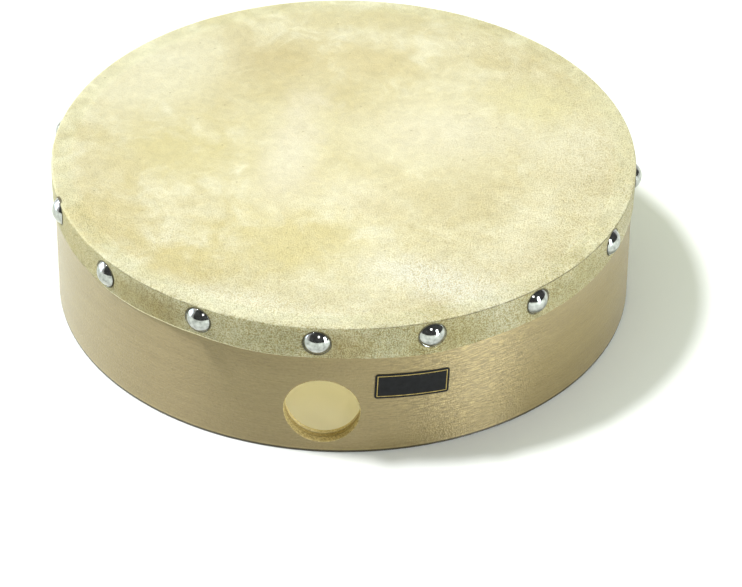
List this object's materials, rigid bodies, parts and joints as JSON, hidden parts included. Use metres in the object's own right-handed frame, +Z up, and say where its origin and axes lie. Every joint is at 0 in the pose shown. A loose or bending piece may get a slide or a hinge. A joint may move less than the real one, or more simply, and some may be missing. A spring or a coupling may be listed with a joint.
{
  "type": "hand drum",
  "caption": "Round single-headed hand drum: hide stretched over a bent plywood shell, held by dome-headed tacks, with a thumb hole in the side.",
  "frame": {"origin": "middle of the open bottom, on the plane that the shell's bottom edge stands on", "axes": "+Z up the drum's axis towards the playing face; the thumb hole faces -Y"},
  "size_m": [0.2617, 0.2617, 0.0661],
  "materials": {
    "shell_face": "satin lacquer on the bent face veneer",
    "shell_core": "raw edge",
    "shell_back": "sanded",
    "hide": "dried cream rawhide, fine pore grain, cloudy",
    "tack_chrome": "polished",
    "label_vinyl": "semi-gloss black vinyl, blank"
  },
  "bodies": {
    "root": {"outer_ply": "shell_face", "core_ply": "shell_core", "inner_ply": "shell_back", "skin_head": "hide", "tack_01": "tack_chrome", "tack_02": "tack_chrome", "tack_03": "tack_chrome", "tack_04": "tack_chrome", "tack_05": "tack_chrome", "tack_06": "tack_chrome", "tack_07": "tack_chrome", "tack_08": "tack_chrome", "tack_09": "tack_chrome", "tack_10": "tack_chrome", "tack_11": "tack_chrome", "tack_12": "tack_chrome", "tack_13": "tack_chrome", "tack_14": "tack_chrome", "tack_15": "tack_chrome", "side_label": "label_vinyl"}
  },
  "joints": []
}
